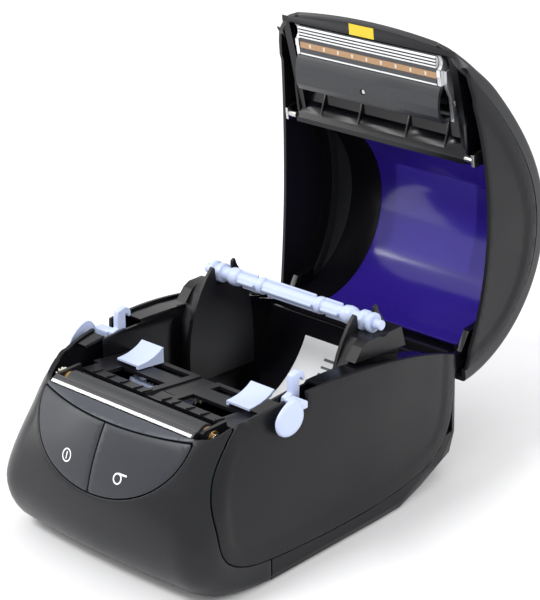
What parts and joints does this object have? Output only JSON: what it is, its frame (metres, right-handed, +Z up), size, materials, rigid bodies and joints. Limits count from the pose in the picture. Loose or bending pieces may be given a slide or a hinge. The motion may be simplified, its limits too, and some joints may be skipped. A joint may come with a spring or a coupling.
{
  "type": "label maker",
  "caption": "Desktop thermal label printer with a clamshell lid standing open over the roll bay, platen roller, tear bar, media guides, latch levers and front buttons.",
  "frame": {"origin": "centre of the flat underside of the case, in the plane the bottom case ends at, 1.5 mm above the desk", "axes": "+X to the right as seen from the front, +Y to the rear (the hinge side), +Z up; the labels leave towards -Y"},
  "size_m": [0.182, 0.3292, 0.2867],
  "materials": {
    "dark_shell": "fine matt texture",
    "graphite_shell": "satin",
    "grey_cover": "satin",
    "inner_black": "semi-gloss",
    "pale_blue_plastic": "satin",
    "ivory_plastic": "satin",
    "blue_grey_trim": "satin",
    "button_plastic": "semi-gloss",
    "violet_window": "clear tinted plastic",
    "steel": "brushed",
    "bright_metal": "satin",
    "bronze": "sintered",
    "motor_can": "matt",
    "platen_rubber": "matt",
    "foot_rubber": "matt",
    "head_ceramic": "glazed",
    "paper_label": "paper",
    "yellow_label": "printed film",
    "board_green": "solder mask",
    "black_plastic": "matt"
  },
  "bodies": {
    "base": {"bottom_case": "dark_shell", "front_cover": "graphite_shell", "side_panel_left": "dark_shell", "side_panel_right": "dark_shell", "rear_cover": "dark_shell", "main_frame": "inner_black", "roll_trough": "inner_black", "print_deck": "inner_black", "front_beam": "steel", "front_trim": "blue_grey_trim", "tear_bar": "steel", "roll_support_left": "inner_black", "roll_support_right": "inner_black", "bay_label": "paper_label", "platen_bushings": "bronze", "idler_stud": "steel", "stepper_motor": "motor_can", "media_sensor": "black_plastic", "latch_pivots": "steel", "button_board": "board_green", "main_board": "board_green", "dc_jack": "black_plastic", "usb_port": "steel", "serial_port": "steel", "rubber_feet": "foot_rubber", "case_screws": "steel", "hinge_pins": "steel"},
    "lid": {"lid_top_cover": "grey_cover", "lid_side_left": "dark_shell", "lid_side_right": "dark_shell", "lid_frame": "inner_black", "lid_window": "violet_window", "latch_catches": "steel", "lid_label": "yellow_label", "head_springs": "steel", "head_wire_spring": "steel", "head_screw": "steel"},
    "head": {"head_heatsink": "bright_metal", "head_element": "head_ceramic", "head_cover": "graphite_shell", "head_bracket_left": "bright_metal", "head_bracket_right": "bright_metal"},
    "platen": {"platen_roller": "platen_rubber", "platen_shaft": "steel", "platen_gear": "ivory_plastic"},
    "idler": {"idler_gear": "ivory_plastic"},
    "motor_rotor": {"motor_pinion": "bronze"},
    "guide_left": {"guide_left": "pale_blue_plastic"},
    "guide_right": {"guide_right": "pale_blue_plastic"},
    "guide_pinion": {"guide_pinion": "ivory_plastic"},
    "latch_left": {"latch_left": "pale_blue_plastic"},
    "latch_right": {"latch_right": "pale_blue_plastic"},
    "power_button": {"power_button": "button_plastic"},
    "feed_button": {"feed_button": "button_plastic"},
    "spindle": {"spindle": "pale_blue_plastic"}
  },
  "joints": [
    {"name": "lid_hinge", "type": "hinge", "parent": "base", "child": "lid", "pos_m": [0, 0.1177, 0.0698], "axis": [1, 0, 0], "range_deg": [0, 84.5]},
    {"name": "head_float", "type": "slide", "parent": "lid", "child": "head", "axis": [0, 0.9954, 0.0958], "range_m": [0, 0.0012], "stiffness_N_per_m": 3000, "springref_m": -0.001, "deforming": ["head_springs"]},
    {"name": "platen_spin", "type": "hinge", "parent": "base", "child": "platen", "pos_m": [0, -0.079, 0.0925], "axis": [1, 0, 0], "continuous": true},
    {"name": "idler_spin", "type": "hinge", "parent": "base", "child": "idler", "pos_m": [0, -0.0667, 0.0799], "axis": [1, 0, 0], "continuous": true},
    {"name": "motor_spin", "type": "hinge", "parent": "base", "child": "motor_rotor", "pos_m": [0, -0.0587, 0.06513], "axis": [1, 0, 0], "continuous": true},
    {"name": "guide_left_slide", "type": "slide", "parent": "base", "child": "guide_left", "axis": [1, 0, 0], "range_m": [0, 0.03]},
    {"name": "guide_right_slide", "type": "slide", "parent": "base", "child": "guide_right", "axis": [1, 0, 0], "range_m": [-0.03, 0]},
    {"name": "guide_pinion_spin", "type": "hinge", "parent": "base", "child": "guide_pinion", "pos_m": [0, -0.031, 0.082], "axis": [0, 0, 1], "range_deg": [0, 288]},
    {"name": "latch_left_pull", "type": "hinge", "parent": "base", "child": "latch_left", "pos_m": [-0.0745, -0.03, 0.084], "axis": [1, 0, 0], "range_deg": [0, 12], "stiffness_Nm_per_rad": 0.6, "springref_deg": -5.73},
    {"name": "latch_right_pull", "type": "hinge", "parent": "base", "child": "latch_right", "pos_m": [0.0745, -0.03, 0.084], "axis": [1, 0, 0], "range_deg": [0, 12], "stiffness_Nm_per_rad": 0.6, "springref_deg": -5.73},
    {"name": "power_press", "type": "hinge", "parent": "base", "child": "power_button", "pos_m": [-0.022, -0.109, 0.088], "axis": [1, 0, 0], "range_deg": [0, 1.6], "stiffness_Nm_per_rad": 1, "springref_deg": -1.72},
    {"name": "feed_press", "type": "hinge", "parent": "base", "child": "feed_button", "pos_m": [0.022, -0.109, 0.088], "axis": [1, 0, 0], "range_deg": [0, 1.6], "stiffness_Nm_per_rad": 1, "springref_deg": -1.72},
    {"name": "spindle_spin", "type": "hinge", "parent": "base", "child": "spindle", "pos_m": [0, 0.058, 0.1215], "axis": [1, 0, 0], "continuous": true}
  ],
  "couplings": [
    {"joint": "idler_spin", "follows": "platen_spin", "ratio": -0.46667},
    {"joint": "motor_spin", "follows": "platen_spin", "ratio": 1.1667},
    {"joint": "guide_right_slide", "follows": "guide_left_slide", "ratio": -1},
    {"joint": "guide_pinion_spin", "follows": "guide_left_slide", "rad_per_m": 166.67}
  ]
}
